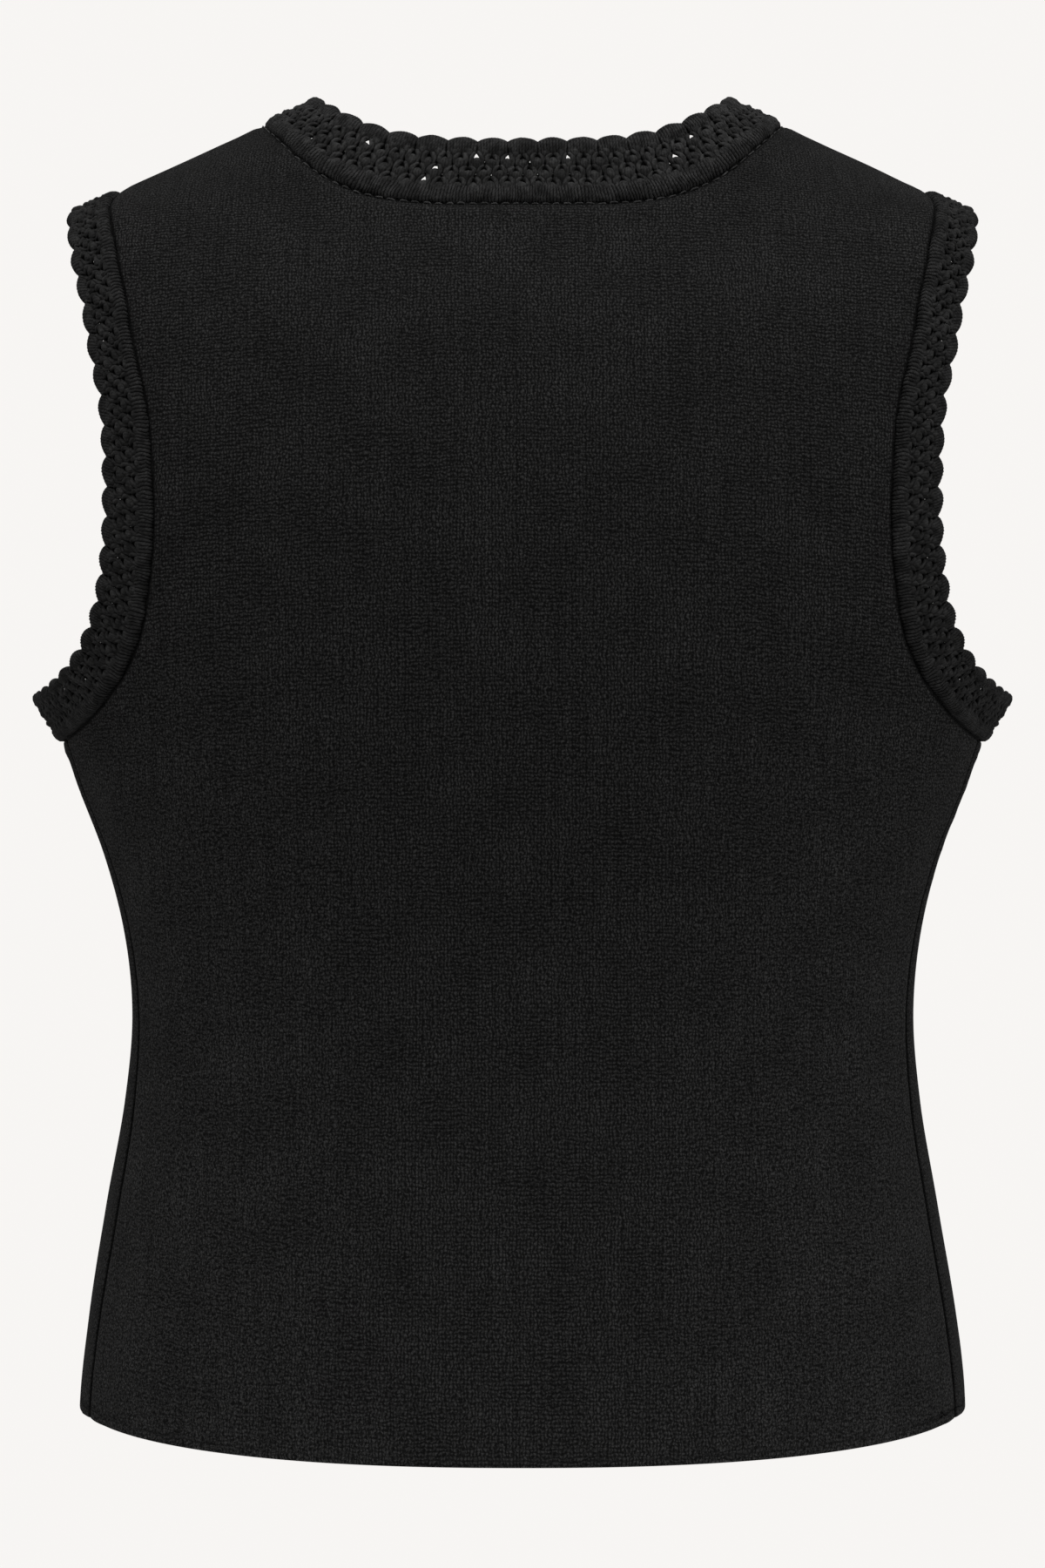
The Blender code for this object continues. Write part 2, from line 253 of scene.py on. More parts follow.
def panel_points(front, across, up):
    """Points of the panel's outer face by their fractions across and up."""
    hem, side, hole, shoulder, neck = panel_runs(front)
    up = up * (1 - SEAM_GAP / abs(HEM_HEIGHT))
    outermost = 1 - 0.5 * SEAM_GAP / half_width_at(HEM_HEIGHT)
    reach = np.abs(2 * across - 1) * outermost
    low = PANEL_ROWS_TO_ARMHOLE
    side_run = np.where((up <= low)[..., None], side(np.minimum(up / low, 1)),
                        hole(np.maximum(up - low, 0) / (1 - low)))
    near = PANEL_NECK_SHARE
    top_run = np.where((reach <= near)[..., None], neck(np.minimum(reach / near, 1)),
                       shoulder(np.maximum(reach - near, 0) / (1 - near)))
    corner_hem, corner_top = hem(np.array(1.0)), shoulder(np.array(outermost))
    slack = side_run - corner_hem * (1 - up)[..., None] - corner_top * up[..., None]
    p = hem(reach) * (1 - up)[..., None] + top_run * up[..., None]
    p = p + slack * np.stack([reach, reach ** 2, reach ** 2], -1)
    p = settled(p)
    p[..., 0] *= np.where(across < 0.5, -1, 1)
    return p


def with_fine_ends(count, edges=(0.0, 0.0008, 0.0018, 0.0032, 0.0055)):
    """Fractions from 0 to 1, close together at both ends where the cloth's edge is rounded."""
    return np.concatenate([edges, np.linspace(0, 1, count)[1:-1], [1 - e for e in reversed(edges)]])


def cloth_lengths():
    """How far round and how far up the cloth each angle and height of the body is."""
    rows, columns = 260, 721
    heights, angles = np.linspace(BODY_FOOT, BODY_TOP, rows), np.linspace(0, math.pi, columns)
    grid = on_body(*np.meshgrid(angles, heights))
    round_it, up_it = run_of(grid, axis=1), run_of(grid, axis=0)

    def look_up(table, angle, height):
        a = np.clip(angle / math.pi * (columns - 1), 0, columns - 1.001)
        h = np.clip((height - BODY_FOOT) / (BODY_TOP - BODY_FOOT) * (rows - 1), 0, rows - 1.001)
        i, j = h.astype(int), a.astype(int)
        s, t = h - i, a - j
        return ((1 - s) * ((1 - t) * table[i, j] + t * table[i, j + 1])
                + s * ((1 - t) * table[i + 1, j] + t * table[i + 1, j + 1]))

    return (lambda a, h: look_up(round_it, a, h)), (lambda a, h: look_up(up_it, a, h))


round_length, up_length = cloth_lengths()


def cloth_place(p, front):
    """The column and course lengths, in metres, of points of the cloth: a knit's own map."""
    power = squareness_at(p[..., 2]) / 2
    side = np.minimum(np.abs(p[..., 0]) / half_width_at(p[..., 2]), 1) ** power
    deep = np.minimum(np.abs(p[..., 1]) / depth_at(p[..., 2], p[..., 1] > 0), 1) ** power
    angle = np.arctan2(side, np.where(p[..., 1] > 0, -deep, deep))
    u = round_length(angle, p[..., 2])
    if front:
        u = round_length(np.full_like(angle, math.pi), p[..., 2]) - u
    return np.stack([np.sign(p[..., 0]) * u + 0.5, up_length(angle, p[..., 2])], -1)


def grid_faces(rows, columns):
    """The numbers of a grid's points, and its square faces."""
    grid = np.arange(rows * columns).reshape(rows, columns)
    corners = (grid[:-1, :-1], grid[:-1, 1:], grid[1:, 1:], grid[1:, :-1])
    return grid, np.stack(corners, -1).reshape(-1, 4)


def panel_mesh(name, front):
    """A closed panel: its outer face, its inner face, and a rounded edge between them."""
    across, up = np.meshgrid(with_fine_ends(129), with_fine_ends(193))
    outer = panel_points(front, across, up)
    x_run, z_run = run_of(outer, axis=1), run_of(outer, axis=0)
    top_seam = z_run[-1:] - z_run
    side_seam = np.minimum(x_run, x_run[:, -1:] - x_run)
    seam = np.minimum(top_seam, side_seam)
    edge = np.minimum(seam, z_run)
    half = KNIT_WALL / 2
    turned = half - np.sqrt(half ** 2 - (half - np.minimum(edge, half)) ** 2)
    x, z = outer[..., 0], outer[..., 2]
    sway = CLOTH_WAVES * np.sin(z * 46 + 1.3 * np.sin(x * 31)) * np.sin(x * 38 + 0.7)
    sway *= np.minimum(edge / 0.03, 1)
    # the thread draws the cloth in along its seams, and it rises a little beside them
    sway -= TOP_SEAM_SINK * np.exp(-top_seam / 0.0013) + SIDE_SEAM_SINK * np.exp(-side_seam / 0.0010)
    sway += (SEAM_PUFF * np.exp(-((seam - 0.0065) / 0.0040) ** 2)
             * (1 + 0.5 * np.sin(z_run * 460 + 60 * x_run)))
    out = outward(outer)
    face = outer + out * (sway - turned)[..., None]
    inside = outer + out * (sway - KNIT_WALL + turned)[..., None]
    place = cloth_place(outer, front)
    grid, faces = grid_faces(*across.shape)
    count = grid.size
    loop = np.concatenate([grid[0, :-1], grid[:-1, -1], grid[-1, :0:-1], grid[:0:-1, 0]])
    after = np.roll(loop, -1)
    rim = np.stack([loop, loop + count, after + count, after], -1)
    quads = np.concatenate([faces, faces[:, ::-1] + count, rim])
    if front:
        quads = quads[:, ::-1]
    mesh = bpy.data.meshes.new(name)
    mesh.from_pydata(np.concatenate([face.reshape(-1, 3), inside.reshape(-1, 3)]).tolist(), [],
                     quads.tolist())
    index = np.empty(len(mesh.loops), int)
    mesh.loops.foreach_get("vertex_index", index)
    for key, values in (("cloth", place), ("from_edges", np.stack([seam, z_run], -1))):
        uv = mesh.uv_layers.new(name=key)
        uv.data.foreach_set("uv", np.concatenate([values.reshape(-1, 2)] * 2)[index].ravel())
    mesh.shade_smooth()
    return mesh


def add_piece(mesh, material, node):
    """Puts a finished piece in the scene: it rides on the vest and stands for the CAD node, if any."""
    piece = bpy.data.objects.new(mesh.name, mesh)
    bpy.context.scene.collection.objects.link(piece)
    mesh.materials.clear()
    mesh.materials.append(material)
    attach(piece, "root")
    if node:
        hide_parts(node)
    return piece


def put(tree, kind, into=(), **settings):
    """Adds a node; into maps its inputs, by name or number, to values or to other nodes' outputs."""
    node = tree.nodes.new(kind)
    for key, value in settings.items():
        setattr(node, key, value)
    for key, value in dict(into).items():
        socket = node.inputs[key]
        if isinstance(value, bpy.types.NodeSocket):
            tree.links.new(value, socket)
        else:
            socket.default_value = value
    return node


def calc(tree, operation, a, b=0.0, c=0.0):
    return put(tree, "ShaderNodeMath", {0: a, 1: b, 2: c}, operation=operation).outputs[0]


def mapped(tree, value, low, high, to_low=0.0, to_high=1.0, **settings):
    """Value, with low to high turned into to_low to to_high and held at both ends."""
    limits = {"From Min": low, "From Max": high, "To Min": to_low, "To Max": to_high}
    return put(tree, "ShaderNodeMapRange", {"Value": value, **limits}, **settings).outputs["Result"]


def noise_at(tree, place, scale, detail):
    return put(tree, "ShaderNodeTexNoise", {"Vector": place, "Scale": scale, "Detail": detail}).outputs


def wandered(tree, at, place, scale, size):
    """The points at, each moved by a noise that is read at place, by up to half of size each way."""
    shift = put(tree, "ShaderNodeVectorMath",
                {0: noise_at(tree, place, scale, 1.0)["Color"], 1: (0.5, 0.5, 0.5)}, operation="SUBTRACT")
    shift = put(tree, "ShaderNodeVectorMath", {0: shift.outputs[0], "Scale": size}, operation="SCALE")
    return put(tree, "ShaderNodeVectorMath", {0: at, 1: shift.outputs[0]}, operation="ADD").outputs[0]


def group_of(name, inputs, outputs):
    tree = bpy.data.node_groups.new(name, "ShaderNodeTree")
    for socket, kind, value in inputs:
        made = tree.interface.new_socket(socket, in_out="INPUT", socket_type=kind)
        if value is not None:
            made.default_value = value
    for socket, kind in outputs:
        tree.interface.new_socket(socket, in_out="OUTPUT", socket_type=kind)
    return tree, tree.nodes.new("NodeGroupInput").outputs, tree.nodes.new("NodeGroupOutput").inputs


def knit_stitches():
    """Heads of fine stitches in columns and courses, uneven as real yarn is. Height is 1 on them."""
    tree, given, out = group_of(
        "knit_stitches",
        [("Place", "NodeSocketVector", None), ("Column width", "NodeSocketFloat", COLUMN_WIDTH),
         ("Course height", "NodeSocketFloat", COURSE_HEIGHT), ("Unevenness", "NodeSocketFloat", 1.0),
         ("Courses stand out", "NodeSocketFloat", 0.0)],
        [("Height", "NodeSocketFloat"), ("Patches", "NodeSocketFloat")])
    place = moved = given["Place"]
    unevenness = calc(tree, "MULTIPLY", given["Unevenness"], given["Column width"])
    for scale, amount in ((90.0, 1.1), (480.0, 1.5)):
        moved = wandered(tree, moved, place, scale, calc(tree, "MULTIPLY", unevenness, amount))
    parts = put(tree, "ShaderNodeSeparateXYZ", {0: moved})

    def bars(along, width, lean=0.0):
        turn = calc(tree, "ADD", calc(tree, "DIVIDE", along, width), lean)
        turn = calc(tree, "MULTIPLY", turn, 2 * math.pi)
        return calc(tree, "MULTIPLY_ADD", calc(tree, "COSINE", turn), 0.5, 0.5)

    column = bars(parts.outputs["X"], given["Column width"])
    lean = calc(tree, "MULTIPLY", column, 0.12)
    course = bars(parts.outputs["Y"], given["Course height"], lean)
    # here the columns stand out more, there the courses
    patch = noise_at(tree, place, 42.0, 3.0)["Fac"]
    favour = calc(tree, "MULTIPLY_ADD", given["Courses stand out"], -0.15, patch)
    tends = mapped(tree, favour, 0.36, 0.56, 0.80, 0.10)
    head = calc(tree, "MULTIPLY", column, course)
    ladder = put(tree, "ShaderNodeMix", {0: tends, 2: column, 3: course}, data_type="FLOAT").outputs[0]
    fuzz = mapped(tree, noise_at(tree, place, 820.0, 1.0)["Fac"], 0.38, 0.62)
    stitch = calc(tree, "MULTIPLY_ADD", head, 0.62, calc(tree, "MULTIPLY", ladder, 0.27))
    fuzziness = calc(tree, "MULTIPLY", given["Unevenness"], 0.22)
    stitch = calc(tree, "MULTIPLY_ADD", fuzz, fuzziness, stitch)
    fibre = mapped(tree, noise_at(tree, place, 1150.0, 2.0)["Fac"], 0.30, 0.70, 0.35, 1.40)
    tree.links.new(calc(tree, "MULTIPLY", stitch, fibre), out["Height"])
    # streaks run up the columns
    stretched = put(tree, "ShaderNodeMapping", {"Vector": place, "Scale": (1.0, 0.04, 1.0)}).outputs[0]
    streak = noise_at(tree, stretched, 520.0, 1.0)["Fac"]
    patches = put(tree, "ShaderNodeMix", {0: 0.45, 2: patch, 3: streak}, data_type="FLOAT").outputs[0]
    tree.links.new(patches, out["Patches"])
    return tree


KNIT_STITCHES = knit_stitches()


def fibre_material(name):
    material = bpy.data.materials.new(name)
    material.use_nodes = True
    return material, material.node_tree


def finish_fibre(tree, tone, height, bump_strength, bump_depth, roughness, specular):
    """Gives the shader its grey and its relief: matte, with a trace of sheen."""
    shader = tree.nodes["Principled BSDF"]
    colour = put(tree, "ShaderNodeCombineColor", {0: tone, 1: tone, 2: tone})
    tree.links.new(colour.outputs[0], shader.inputs["Base Color"])
    bump = put(tree, "ShaderNodeBump", {"Height": height, "Strength": bump_strength, "Distance": bump_depth})
    tree.links.new(bump.outputs[0], shader.inputs["Normal"])
    shader.inputs["Roughness"].default_value = roughness
    shader.inputs["Specular IOR Level"].default_value = specular
    shader.inputs["Sheen Weight"].default_value = 0.01


def knit_cloth(name, lightest):
    material, tree = fibre_material(name)
    stitches = put(tree, "ShaderNodeGroup", node_tree=KNIT_STITCHES)
    place = put(tree, "ShaderNodeUVMap", uv_map="cloth")
    tree.links.new(place.outputs[0], stitches.inputs["Place"])
    # the cloth is tidiest down the middle; beside the armholes its courses show most, and below them,
    # where it wraps round the body, it is the least even
    spot = put(tree, "ShaderNodeSeparateXYZ", {0: put(tree, "ShaderNodeTexCoord").outputs["Object"]})
    sideways = mapped(tree, calc(tree, "ABSOLUTE", spot.outputs["X"]), 0.04, 0.13)
    lower = mapped(tree, spot.outputs["Z"], -0.18, -0.27)
    lower_side = calc(tree, "MULTIPLY", sideways, lower)
    unevenness = calc(tree, "MULTIPLY_ADD", lower_side, 0.7, 1.25)
    tree.links.new(unevenness, stitches.inputs["Unevenness"])
    upper_side = calc(tree, "SUBTRACT", sideways, lower_side)
    tree.links.new(upper_side, stitches.inputs["Courses stand out"])
    # painted shade: the colour is darkest between the stitch heads, where shade falls in the knit's hollows;
    # the patches vary it at random
    tone = mapped(tree, stitches.outputs["Height"], 0.12, 1.05, 0.0035, lightest)
    tone = calc(tree, "MULTIPLY", tone, mapped(tree, stitches.outputs["Patches"], 0.35, 0.65, 0.80, 1.20))
    # painted shade: the cloth's colour is darkened within about 2 mm of a seam, where it dips into the seam's
    # groove and falls into shade
    from_edges = put(tree, "ShaderNodeUVMap", uv_map="from_edges").outputs[0]
    seam = put(tree, "ShaderNodeSeparateXYZ", {0: from_edges}).outputs["X"]
    painted_seam_shade = mapped(tree, seam, 0.0004, 0.0018, 0.12, 1.0, interpolation_type="SMOOTHSTEP")
    finish_fibre(tree, calc(tree, "MULTIPLY", tone, painted_seam_shade), stitches.outputs["Height"],
                 bump_strength=0.5, bump_depth=0.0004, roughness=0.95, specular=0.06)
    return material


back_panel = add_piece(panel_mesh("back_panel_knit", front=False), knit_cloth("back_knit", lightest=0.0350),
                       "back_panel")

# ---- the knitted front --------------------------------------------------------------------------
# The same jersey in one piece, cut lower at the neck. It wraps round the sides to the side seams,
# which lie behind the middle, so a narrow strip of it shows beside the back.

# the front's knit is coloured darker than the back's, as painted shade for the strip of it that is seen at a
# grazing angle beside the back
front_panel = add_piece(panel_mesh("front_panel_knit", front=True), knit_cloth("front_knit", lightest=0.0280),
                        "front_panel")

# ---- the crocheted trim -------------------------------------------------------------------------
# Matte black cord, crocheted round the neck and each armhole: a rolled band wrapped with yarn at the
# seam, three rows of V-shaped clusters with small gaps, and a scalloped shell edge.

TRIM_WIDTH = 0.0234
GAP_ROWS = (0.0077, 0.0120, 0.0163)  # how far from the seam the rows of gaps are
SHELL_POSTS = 10  # side by side in a scallop


def smooth_path(points, count):
    """A rounded path through a few points."""
    points = np.array(points, float)
    t = np.linspace(0, len(points) - 1, count)
    padded = np.concatenate([[2 * points[0] - points[1]], points, [2 * points[-1] - points[-2]]])
    i = np.clip(t.astype(int), 0, len(points) - 2)
    f = (t - i)[:, None]
    a, b, c, d = (padded[i + k] for k in range(4))
    return 0.5 * (2 * b + (c - a) * f + (2 * a - 5 * b + 4 * c - d) * f ** 2
                  + (3 * b - a - 3 * c + d) * f ** 3)


class YarnWork:
    """Lengths of yarn gathered into one mesh, each with its own map: along it, and round it."""

    def __init__(self):
        self.verts, self.faces, self.uvs = [], [], []

    def lay(self, points, radius, rings, sides, flat=1.0, up=(0, 0, 1), across=None, plies=3,
            twist=0.0011, lit=1):
        """One length of yarn along a path. radius is one number, or several along the path; up is off
        the cloth. lit is 0 for yarn so deep in the work that no side of it is light: its map then gives it
        painted shade all round."""
        path = smooth_path(points, rings)
        radii = np.interp(np.linspace(0, 1, rings), np.linspace(0, 1, np.size(radius)),
                          np.atleast_1d(radius))
        along = np.gradient(path, axis=0)
        along /= np.linalg.norm(along, axis=1, keepdims=True)
        side = np.cross(along, up) if across is None else np.cross(along, np.cross(across, along))
        side /= np.linalg.norm(side, axis=1, keepdims=True)
        over = np.cross(side, along)
        turn = np.linspace(0, 2 * math.pi, sides, endpoint=False)
        wide, high = np.cos(turn)[None, :, None], flat * np.sin(turn)[None, :, None]
        ring = path[:, None] + radii[:, None, None] * (wide * side[:, None] + high * over[:, None])
        base, run = len(self.verts), run_of(path) / twist
        self.verts += ring.reshape(-1, 3).tolist()
        for i in range(rings - 1):
            for j in range(sides):
                k = (j + 1) % sides
                self.faces.append([base + i * sides + j, base + i * sides + k,
                                   base + (i + 1) * sides + k, base + (i + 1) * sides + j])
                self.uvs += [(run[i + di] + plies * (j + dj) / sides, lit * (j + dj) / sides)
                             for di, dj in ((0, 0), (0, 1), (1, 1), (1, 0))]
        for i, order in ((0, -1), (rings - 1, 1)):
            tip = len(self.verts)
            self.verts.append((path[i] + along[i] * radii[i] * 0.5 * order).tolist())
            for j in range(sides):
                k = (j + 1) % sides
                pair = [base + i * sides + j, base + i * sides + k]
                self.faces.append([tip, *(pair if order > 0 else reversed(pair))])
                self.uvs += [(run[i], 0.5)] * 3

    def mesh(self, name):
        mesh = bpy.data.meshes.new(name)
        mesh.from_pydata(self.verts, [], self.faces)
        mesh.uv_layers.new(name="yarn").data.foreach_set("uv", np.array(self.uvs, float).ravel())
        mesh.shade_smooth()
        return mesh

    def pattern(self, name):
        """The work as an object to be repeated, not seen itself."""
        return bpy.data.objects.new(name, self.mesh(name))


def crochet_repeat(name, pitch, wraps, lean, scallop, foot):
    """One scallop's length of the trim, laid flat: x along it, y from its seam, z off the cloth. The
    wraps of its band start at foot from the seam."""
    work = YarnWork()
    mm = 0.001

    def lay(points, radii, rings, sides, **shape):
        work.lay(np.array(points) * mm, np.array(radii) * mm, rings, sides, **shape)

    length, lean, scallop, foot = pitch / mm, lean / mm, scallop / mm, foot / mm

    def run_through(y, z, radius, sides, **shape):
        lay([(-0.1, y, z), (length + 0.1, y, z)], radius, 3, sides, **shape)

    # the wraps of the rolled band, its core, and under it the tape that it is sewn to, painted dark all round
    # as painted shade under the band
    for i in range(wraps):
        x = length * (i + 0.5) / wraps
        lay([(x - 0.5 * lean, foot, -1.7), (x - 0.4 * lean, foot + 0.3, 0.2), (x, 4.0, 1.20),
             (x + 0.4 * lean, 6.0, 0.50), (x + 0.5 * lean, 6.7, -0.9)],
            0.53 * length / wraps, 8, 5, across=(1, 0, 0))
    run_through(4.1, -0.3, 2.3, 8, flat=0.45)
    run_through(0.0, -1.5, 3.6, 6, flat=0.09, lit=0)
    # the clusters, drop-shaped: a full middle, and two arms that part round a gap and close over it
    for row, gap in enumerate(GAP_ROWS):
        gap = gap / mm
        start = gap - 4.3
        for half in (0, 1):
            middle = length * (0.5 * half + (0.25 if row == 1 else 0.0))
            lay([(middle, start - 0.5, -0.3), (middle, start + 1.0, 0.55), (middle, gap - 2.1, 0.85),
                 (middle, gap - 0.8, 0.15)],
                (0.50, 1.30, 1.75, 1.10), 6, 8, flat=0.6, across=(1, 0, 0), plies=9, twist=0.01)
            for side in (-1, 1):
                lay([(middle + side * 0.25, start - 0.4, -0.5), (middle + side * 1.50, start + 1.5, 0.15),
                     (middle + side * 1.95, gap - 1.2, 0.50), (middle + side * 1.60, gap + 0.2, 0.45),
                     (middle + side * 0.55, gap + 1.35, 0.0)],
                    (0.50, 0.85, 1.05, 0.98, 0.80), 7, 6, flat=0.8, across=(1, 0, 0), plies=4, twist=0.004)
        run_through(gap + 2.1, -0.9, 0.95, 6, flat=0.3)
    # the shell edge: posts side by side, over a core and under a cord that follows the scallop
    top_at = lambda f: TRIM_WIDTH / mm - scallop * (1 - math.sin(math.pi * f) ** 0.75)
    for x in (0.25 * length, 0.75 * length):
        lay([(x, 15.7, -0.4), (x, 17.0, 0.35), (x, 18.6, 0.45)],
            (0.45, 1.30, 1.70), 4, 6, flat=0.5, across=(1, 0, 0), plies=9, twist=0.01)
    for i in range(SHELL_POSTS):
        f = (i + 0.5) / SHELL_POSTS
        puff = 0.35 + 0.45 * math.sin(math.pi * f)
        lay([(length * (0.5 + (f - 0.5) * 0.90), 17.4, -0.2), (length * (0.5 + (f - 0.5) * 0.94), 19.0, puff),
             (length * f, top_at(f) - 1.5, puff), (length * f, top_at(f) - 0.5, -0.2)],
            (0.66, 0.74, 0.76, 0.60), 6, 5, across=(1, 0, 0))
    run_through(19.3, -0.3, 1.7, 6, flat=0.16)
    lay([(length * f, top_at(f) - 0.5, -0.2) for f in np.linspace(0, 1, 9)], 0.5, 10, 5)
    return work.pattern(name)


def filling_knot(name):
    """A puff of yarn that closes a gap from behind, painted dark all round as painted shade deep in the gap.
    """
    work = YarnWork()
    work.lay([(0, -0.0024, -0.0003), (0, 0.0, 0.0), (0, 0.0024, -0.0003)], (0.0016, 0.0021, 0.0016), 5, 6,
             flat=0.3, across=(1, 0, 0), lit=0)
    return work.pattern(name)


RING_ROWS = np.linspace(-0.3, 1.15, 30)  # shares of the trim's width, and a little past both its sides
SEAM_ROW, EDGE_ROW = 6, 26  # where the share is 0, and where it is 1


def ring_carrier(name, edge, sign=1, ease=0.0):
    """The ring that a trim lies on, and how long its free edge is. The ring's map runs once round, and
    from the seam to the free edge. The trim is stretched at turn 0 and pushed together opposite by the
    share ease."""
    turns = np.linspace(0, 2 * math.pi, 1441)
    run = run_of(edge(turns, 1.0))
    share = run / run[-1] - ease / (2 * math.pi) * np.sin(2 * math.pi * run / run[-1])
    s, t = np.meshgrid(np.linspace(-0.03, 1.03, 721), RING_ROWS)
    turn = np.interp(s % 1.0, share, turns)
    p = edge(turn, t)
    # across the trim the map is even along the cloth, however steeply the cloth rises
    across = run_of(p, axis=0)
    t = (across - across[SEAM_ROW]) / (across[EDGE_ROW] - across[SEAM_ROW])
    out = outward(p)
    p[..., 0] *= sign
    out[..., 0] *= sign
    _, quads = grid_faces(*s.shape)
    mesh = bpy.data.meshes.new(name)
    mesh.from_pydata(p.reshape(-1, 3).tolist(), [], quads.tolist())
    for key, values in (("ring_place", np.stack([s, t, 0 * s], -1)), ("ring_out", out)):
        mesh.attributes.new(key, "FLOAT_VECTOR", "POINT").data.foreach_set("vector", values.ravel())
    return bpy.data.objects.new(name, mesh), run[-1]


def worked_along_ring():
    """Repeats a flat piece along a ring and bends the row onto it; knots close some of its gaps."""
    tree = bpy.data.node_groups.new("worked_along_ring", "GeometryNodeTree")
    tree.is_modifier = True
    for name, kind in (("Ring", "Geometry"), ("Repeat", "Object"), ("Knot", "Object"), ("Count", "Int"),
                       ("Pitch", "Float"), ("Start", "Float"), ("Share of gaps closed", "Float"),
                       ("Knot depth", "Float"), ("Wander", "Float"), ("Seed", "Int"), ("Yarn", "Material")):
        tree.interface.new_socket(name, in_out="INPUT", socket_type="NodeSocket" + kind)
    tree.interface.new_socket("Work", in_out="OUTPUT", socket_type="NodeSocketGeometry")
    given = tree.nodes.new("NodeGroupInput").outputs

    def vector(x, y=0.0, z=0.0):
        return put(tree, "ShaderNodeCombineXYZ", {0: x, 1: y, 2: z}).outputs[0]

    def attribute(name):
        return put(tree, "GeometryNodeInputNamedAttribute", {"Name": name},
                   data_type="FLOAT_VECTOR").outputs[0]

    repeat = put(tree, "GeometryNodeObjectInfo", {"Object": given["Repeat"]}).outputs["Geometry"]
    line = put(tree, "GeometryNodeMeshLine", {"Count": given["Count"], "Offset": vector(given["Pitch"])})
    row = put(tree, "GeometryNodeInstanceOnPoints", {"Points": line.outputs[0], "Instance": repeat})
    # six gaps to a repeat: two in each of three rows, the middle row set off by half a gap
    gaps = put(tree, "GeometryNodeMeshLine", {"Count": calc(tree, "MULTIPLY", given["Count"], 6.0)})
    number = put(tree, "GeometryNodeInputIndex").outputs[0]
    gap_row = calc(tree, "MODULO", number, 3.0)
    gap_column = calc(tree, "FLOOR", calc(tree, "DIVIDE", number, 3.0))
    odd = calc(tree, "MULTIPLY", calc(tree, "MODULO", gap_row, 2.0), 0.5)
    gap_pitch = calc(tree, "MULTIPLY", given["Pitch"], 0.5)
    gap_x = calc(tree, "MULTIPLY", calc(tree, "ADD", gap_column, odd), gap_pitch)
    gap_y = calc(tree, "MULTIPLY_ADD", gap_row, GAP_ROWS[1] - GAP_ROWS[0], GAP_ROWS[0])
    gap_z = calc(tree, "MULTIPLY", given["Knot depth"], -1.0)
    placed = put(tree, "GeometryNodeSetPosition",
                 {"Geometry": gaps.outputs[0], "Position": vector(gap_x, gap_y, gap_z)})
    # most of the open gaps are in the row next to the shell
    closed = given["Share of gaps closed"]
    lower_row = calc(tree, "LESS_THAN", gap_row, 1.5)
    more = calc(tree, "MULTIPLY", calc(tree, "SUBTRACT", 1.0, closed), lower_row)
    chance = calc(tree, "MULTIPLY_ADD", closed, more, closed)
    chosen = put(tree, "FunctionNodeRandomValue", {"Probability": chance, "Seed": given["Seed"]},
                 data_type="BOOLEAN").outputs[3]
    knot = put(tree, "GeometryNodeObjectInfo", {"Object": given["Knot"]}).outputs["Geometry"]
    knots = put(tree, "GeometryNodeInstanceOnPoints",
                {"Points": placed.outputs[0], "Selection": chosen, "Instance": knot})
    joined = tree.nodes.new("GeometryNodeJoinGeometry")
    for part in (row, knots):
        tree.links.new(part.outputs[0], joined.inputs[0])
    real = put(tree, "GeometryNodeRealizeInstances", {0: joined.outputs[0]})
    # the yarn wanders, least at the free edge
    position = tree.nodes.new("GeometryNodeInputPosition").outputs[0]
    from_seam = put(tree, "ShaderNodeSeparateXYZ", {0: position}).outputs["Y"]
    steady = mapped(tree, from_seam, 0.0165, 0.0215, 1.0, 0.25)
    wander = calc(tree, "MULTIPLY", given["Wander"], steady)
    at = wandered(tree, position, position, 190.0, wander)
    x, y, z = put(tree, "ShaderNodeSeparateXYZ", {0: at}).outputs
    length = calc(tree, "MULTIPLY", given["Count"], given["Pitch"])
    round_ring = calc(tree, "ADD", calc(tree, "DIVIDE", x, length), given["Start"])
    place = vector(round_ring, calc(tree, "DIVIDE", y, TRIM_WIDTH))

    def sampled(value):
        return put(tree, "GeometryNodeSampleUVSurface", {
            "Mesh": given["Ring"], "Value": value, "UV Map": attribute("ring_place"), "Sample UV": place},
            data_type="FLOAT_VECTOR").outputs[0]

    outwards = sampled(attribute("ring_out"))
    off = put(tree, "ShaderNodeVectorMath", {0: outwards, "Scale": z}, operation="SCALE")
    bent = put(tree, "ShaderNodeVectorMath", {0: sampled(position), 1: off.outputs[0]}, operation="ADD")
    moved = put(tree, "GeometryNodeSetPosition", {"Geometry": real.outputs[0], "Position": bent.outputs[0]})
    work = put(tree, "GeometryNodeSetMaterial", {"Geometry": moved.outputs[0], "Material": given["Yarn"]})
    tree.links.new(work.outputs[0], tree.nodes.new("NodeGroupOutput").inputs[0])
    return tree


WORKED_ALONG_RING = worked_along_ring()


def work_ring(name, carrier, settings):
    """Runs the tree on a ring and returns the finished plain mesh."""
    bpy.context.scene.collection.objects.link(carrier)
    work = carrier.modifiers.new("work", "NODES")
    work.node_group = WORKED_ALONG_RING
    for item in WORKED_ALONG_RING.interface.items_tree:
        if item.in_out == "INPUT" and item.name in settings:
            work[item.identifier] = settings[item.name]
    evaluated = carrier.evaluated_get(bpy.context.evaluated_depsgraph_get())
    mesh = bpy.data.meshes.new_from_object(evaluated)
    mesh.name = name
    carrier.modifiers.remove(work)
    bpy.data.objects.remove(carrier)
    return mesh


